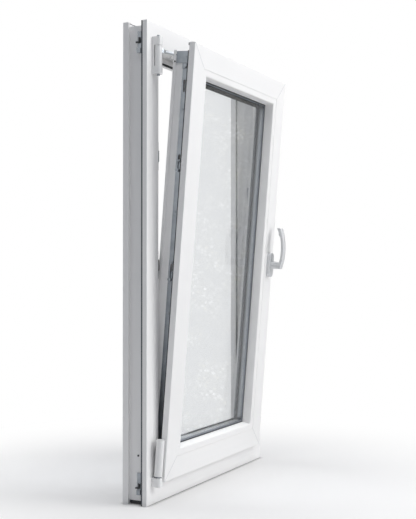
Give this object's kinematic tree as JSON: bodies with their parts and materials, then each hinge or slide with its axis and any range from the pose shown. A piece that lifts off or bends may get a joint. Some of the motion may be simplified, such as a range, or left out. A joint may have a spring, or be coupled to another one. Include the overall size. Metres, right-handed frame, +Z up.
{
  "type": "tilt and turn window",
  "caption": "White plastic tilt and turn window with a double-glazed sash that tilts in on a stay or turns on its side hinges, and a lever handle.",
  "frame": {"origin": "middle of the underside of the sill's room-side flange", "axes": "+X to the right as seen from the room, +Y out to the weather, +Z up"},
  "size_m": [0.68, 0.1953, 1.2],
  "materials": {
    "white_upvc": "satin",
    "white_moulding": "satin",
    "white_handle": "gloss",
    "black_seal": "matte",
    "glass": "clear",
    "spacer_aluminium": "satin",
    "zinc_steel": "zinc plated",
    "dark_plastic": "matte"
  },
  "bodies": {
    "frame": {"frame_left_jamb": "white_upvc", "frame_right_jamb": "white_upvc", "frame_head": "white_upvc", "frame_sill": "white_upvc", "frame_gasket": "black_seal", "corner_pivot_rest": "white_moulding", "stay_bearing": "white_moulding", "stay_pin": "zinc_steel", "keep_plates": "zinc_steel", "middle_keep": "dark_plastic", "drain_caps": "white_moulding", "anchor_plates": "zinc_steel"},
    "hinge_pivot": {"corner_hinge_pin": "zinc_steel"},
    "sash": {"sash_left_stile": "white_upvc", "sash_right_stile": "white_upvc", "sash_top_rail": "white_upvc", "sash_bottom_rail": "white_upvc", "glazing_bead_left": "white_upvc", "glazing_bead_right": "white_upvc", "glazing_bead_top": "white_upvc", "glazing_bead_bottom": "white_upvc", "glass_inner_pane": "glass", "glass_outer_pane": "glass", "glass_spacer": "spacer_aluminium", "glass_inner_gasket": "black_seal", "glass_outer_gasket": "black_seal", "sash_gasket": "black_seal", "fitting_strip_left": "zinc_steel", "fitting_strip_right": "zinc_steel", "fitting_strip_top": "zinc_steel", "fitting_strip_bottom": "zinc_steel", "corner_hinge_band": "zinc_steel", "corner_hinge_cover": "white_moulding", "handle_rosette": "white_handle"},
    "handle": {"handle_lever": "white_handle"},
    "stay": {"stay_arm": "zinc_steel", "stay_rivet": "zinc_steel", "stay_cover": "white_moulding"},
    "cams_left": {"locking_cams_left": "zinc_steel"},
    "cams_top": {"locking_cams_top": "zinc_steel"},
    "cams_right": {"locking_cams_right": "zinc_steel"}
  },
  "joints": [
    {"name": "sash_turn", "type": "hinge", "parent": "frame", "child": "hinge_pivot", "pos_m": [-0.306, -0.02125, 0.055], "axis": [0, 0, -1], "range_deg": [0, 90]},
    {"name": "sash_tilt", "type": "hinge", "parent": "hinge_pivot", "child": "sash", "pos_m": [-0.306, -0.02125, 0.074], "axis": [-1, 0, 0], "range_deg": [0, 4.6]},
    {"name": "stay_swing", "type": "hinge", "parent": "hinge_pivot", "child": "stay", "pos_m": [-0.306, -0.02125, 1.136], "axis": [0, 0, 1], "range_deg": [0, 14.73]},
    {"name": "handle_turn", "type": "hinge", "parent": "sash", "child": "handle", "pos_m": [0.26, -0.07241, 0.59758], "axis": [0, -0.9968, -0.0802], "range_deg": [0, 180]},
    {"name": "cams_left_slide", "type": "slide", "parent": "sash", "child": "cams_left", "axis": [0, -0.0802, 0.9968], "range_m": [0, 0.0361]},
    {"name": "cams_top_slide", "type": "slide", "parent": "sash", "child": "cams_top", "axis": [1, 0, 0], "range_m": [0, 0.0361]},
    {"name": "cams_right_slide", "type": "slide", "parent": "sash", "child": "cams_right", "axis": [0, 0.0802, -0.9968], "range_m": [0, 0.0361]}
  ],
  "couplings": [
    {"joint": "stay_swing", "follows": "sash_tilt", "ratio": 3.2003},
    {"joint": "cams_left_slide", "follows": "handle_turn", "m_per_rad": 0.011459},
    {"joint": "cams_top_slide", "follows": "handle_turn", "m_per_rad": 0.011459},
    {"joint": "cams_right_slide", "follows": "handle_turn", "m_per_rad": 0.011459}
  ]
}
